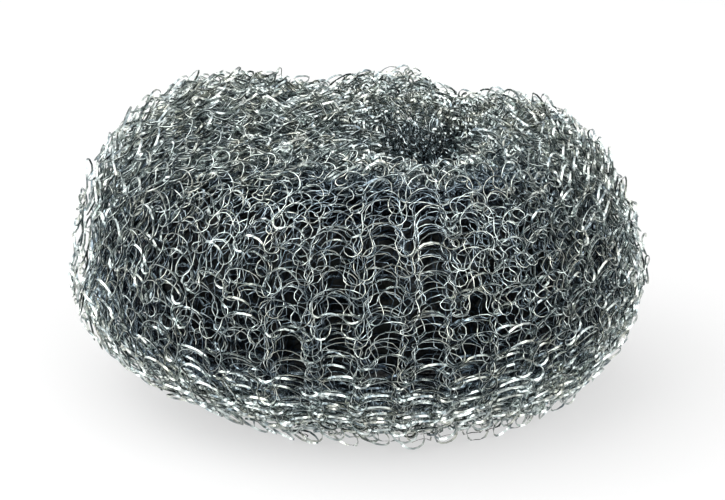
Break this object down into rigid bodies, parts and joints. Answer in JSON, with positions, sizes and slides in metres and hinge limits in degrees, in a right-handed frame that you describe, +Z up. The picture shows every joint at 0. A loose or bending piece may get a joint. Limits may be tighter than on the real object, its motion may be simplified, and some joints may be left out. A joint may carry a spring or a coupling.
{
  "type": "knitted scouring pad",
  "caption": "Puffed round scouring pad of knitted flat zinc-coated wire, rolled on itself and pinched shut in the middle.",
  "frame": {"origin": "under the middle of the pad, on the surface it rests on", "axes": "+Z up through the pad's thickness, +X along its width, +Y towards its back"},
  "size_m": [0.0748, 0.0698, 0.0399],
  "materials": {
    "zinc_coated_wire": "flat zinc-coated steel wire, bright on its flat faces, loosely knitted"
  },
  "bodies": {
    "root": {"knitted_pad": "zinc_coated_wire"}
  },
  "joints": []
}
